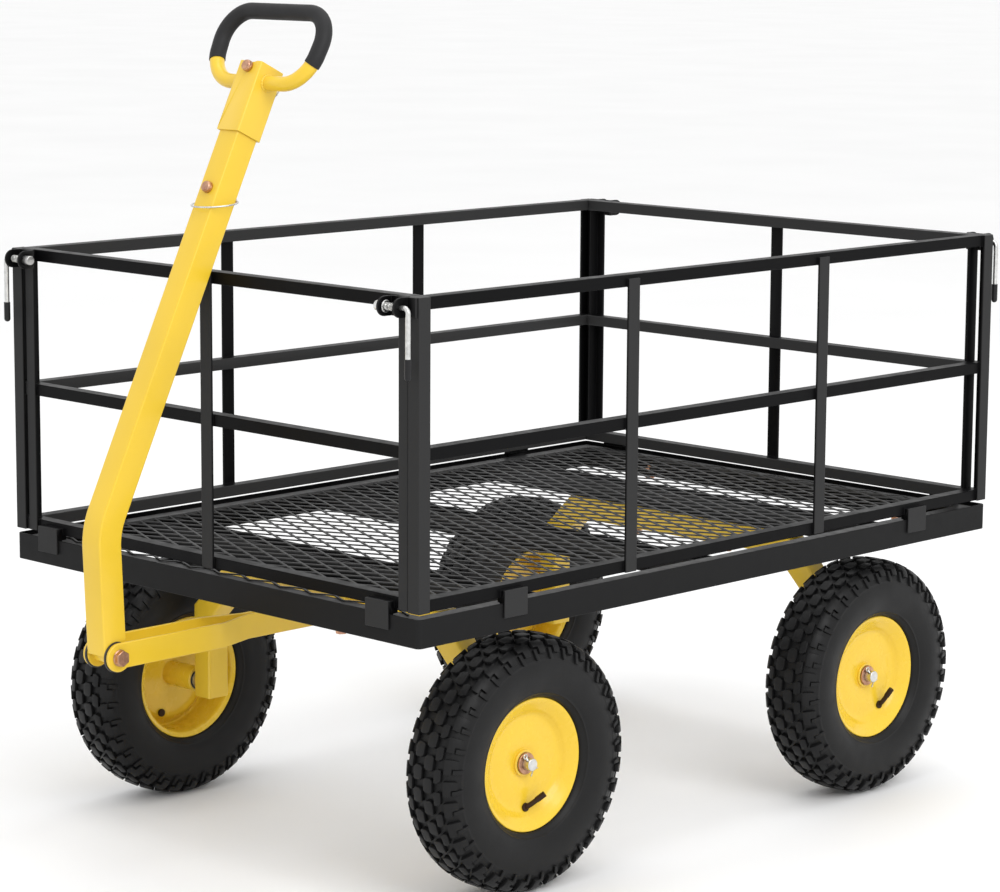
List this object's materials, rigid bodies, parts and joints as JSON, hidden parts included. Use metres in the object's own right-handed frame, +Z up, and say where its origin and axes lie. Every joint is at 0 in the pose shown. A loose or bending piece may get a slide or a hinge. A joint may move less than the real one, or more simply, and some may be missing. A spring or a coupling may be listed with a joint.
{
  "type": "garden utility cart",
  "caption": "Steel utility cart for hauling firewood, with a mesh bed, lift-out open side panels, air-filled wheels, a swivel front axle and a fold-down pull handle.",
  "frame": {"origin": "on the floor, under the centre of the cart's overall box", "axes": "+Z up, +Y toward the rear along the bed with the pull handle at -Y, +X toward the right wheels as seen from the handle facing the cart"},
  "size_m": [0.7868, 1.3344, 1.1037],
  "materials": {
    "bed_paint": "satin powder coat",
    "mesh_paint": "satin powder coat",
    "panel_paint": "satin powder coat",
    "chassis_paint": "gloss powder coat",
    "handle_paint": "gloss powder coat",
    "rim_paint": "gloss powder coat",
    "tyre": "moulded rubber",
    "valve_rubber": "moulded rubber",
    "bush": "matte",
    "grip_rubber": "matte",
    "dipped_tip": "satin",
    "spring_wire": "bright",
    "bright_zinc": "bright zinc plate",
    "yellow_zinc": "yellow passivated zinc"
  },
  "bodies": {
    "bed": {"bed_frame": "bed_paint", "floor_bearers": "bed_paint", "floor_mesh": "mesh_paint", "turntable_plate": "bed_paint", "bed_bolts": "yellow_zinc", "kingpin": "yellow_zinc", "kingpin_nut": "yellow_zinc", "rear_axle_frame": "chassis_paint", "rear_axle_shafts": "bright_zinc", "rear_washers": "yellow_zinc", "rear_split_pins": "spring_wire"},
    "steering": {"front_axle_frame": "chassis_paint", "front_axle_shafts": "bright_zinc", "steering_plate": "chassis_paint", "thrust_washer": "bright_zinc", "tongue_straps": "chassis_paint", "pivot_bolt": "yellow_zinc", "pivot_nut": "yellow_zinc", "front_washers": "yellow_zinc", "front_split_pins": "spring_wire"},
    "handle": {"handle_tube": "handle_paint", "grip_sleeve": "handle_paint", "grip_loop": "handle_paint", "grip_cover": "grip_rubber", "hitch_pins": "yellow_zinc", "pin_bails": "spring_wire"},
    "front_panel": {"front_panel": "panel_paint"},
    "rear_panel": {"rear_panel": "panel_paint"},
    "left_panel": {"left_panel": "panel_paint", "left_latch_brackets": "panel_paint"},
    "right_panel": {"right_panel": "panel_paint", "right_latch_brackets": "panel_paint"},
    "wheel_front_left": {"tyre_front_left": "tyre", "rim_front_left": "rim_paint", "bushes_front_left": "bush", "valve_front_left": "valve_rubber"},
    "latch_front_left": {"latch_bolt_front_left": "bright_zinc", "latch_spring_front_left": "spring_wire", "latch_tip_front_left": "dipped_tip"},
    "wheel_front_right": {"tyre_front_right": "tyre", "rim_front_right": "rim_paint", "bushes_front_right": "bush", "valve_front_right": "valve_rubber"},
    "latch_front_right": {"latch_bolt_front_right": "bright_zinc", "latch_spring_front_right": "spring_wire", "latch_tip_front_right": "dipped_tip"},
    "wheel_rear_left": {"tyre_rear_left": "tyre", "rim_rear_left": "rim_paint", "bushes_rear_left": "bush", "valve_rear_left": "valve_rubber"},
    "latch_rear_left": {"latch_bolt_rear_left": "bright_zinc", "latch_spring_rear_left": "spring_wire", "latch_tip_rear_left": "dipped_tip"},
    "wheel_rear_right": {"tyre_rear_right": "tyre", "rim_rear_right": "rim_paint", "bushes_rear_right": "bush", "valve_rear_right": "valve_rubber"},
    "latch_rear_right": {"latch_bolt_rear_right": "bright_zinc", "latch_spring_rear_right": "spring_wire", "latch_tip_rear_right": "dipped_tip"}
  },
  "joints": [
    {"name": "wheel_front_left_spin", "type": "hinge", "parent": "steering", "child": "wheel_front_left", "pos_m": [-0.332, -0.25726, 0.165], "axis": [1, 0, 0], "continuous": true},
    {"name": "wheel_front_right_spin", "type": "hinge", "parent": "steering", "child": "wheel_front_right", "pos_m": [0.332, -0.25726, 0.165], "axis": [1, 0, 0], "continuous": true},
    {"name": "wheel_rear_left_spin", "type": "hinge", "parent": "bed", "child": "wheel_rear_left", "pos_m": [-0.332, 0.43074, 0.165], "axis": [1, 0, 0], "continuous": true},
    {"name": "wheel_rear_right_spin", "type": "hinge", "parent": "bed", "child": "wheel_rear_right", "pos_m": [0.332, 0.43074, 0.165], "axis": [1, 0, 0], "continuous": true},
    {"name": "steering_swivel", "type": "hinge", "parent": "bed", "child": "steering", "pos_m": [0, -0.25726, 0.3435], "axis": [0, 0, 1], "range_deg": [-10, 10]},
    {"name": "handle_pivot", "type": "hinge", "parent": "steering", "child": "handle", "pos_m": [0, -0.64376, 0.3085], "axis": [1, 0, 0], "range_deg": [0, 125]},
    {"name": "front_panel_lift", "type": "slide", "parent": "bed", "child": "front_panel", "axis": [0, 0, 1], "range_m": [0, 0.01]},
    {"name": "rear_panel_lift", "type": "slide", "parent": "bed", "child": "rear_panel", "axis": [0, 0, 1], "range_m": [0, 0.025]},
    {"name": "left_panel_lift", "type": "slide", "parent": "bed", "child": "left_panel", "axis": [0, 0, 1], "range_m": [0, 0.025]},
    {"name": "right_panel_lift", "type": "slide", "parent": "bed", "child": "right_panel", "axis": [0, 0, 1], "range_m": [0, 0.025]},
    {"name": "latch_front_left_slide", "type": "slide", "parent": "left_panel", "child": "latch_front_left", "axis": [-1, 0, 0], "range_m": [0, 0.01], "stiffness_N_per_m": 400, "springref_m": -0.008, "deforming": ["latch_spring_front_left"]},
    {"name": "latch_front_right_slide", "type": "slide", "parent": "right_panel", "child": "latch_front_right", "axis": [1, 0, 0], "range_m": [0, 0.01], "stiffness_N_per_m": 400, "springref_m": -0.008, "deforming": ["latch_spring_front_right"]},
    {"name": "latch_rear_left_slide", "type": "slide", "parent": "left_panel", "child": "latch_rear_left", "axis": [-1, 0, 0], "range_m": [0, 0.01], "stiffness_N_per_m": 400, "springref_m": -0.008, "deforming": ["latch_spring_rear_left"]},
    {"name": "latch_rear_right_slide", "type": "slide", "parent": "right_panel", "child": "latch_rear_right", "axis": [1, 0, 0], "range_m": [0, 0.01], "stiffness_N_per_m": 400, "springref_m": -0.008, "deforming": ["latch_spring_rear_right"]}
  ]
}
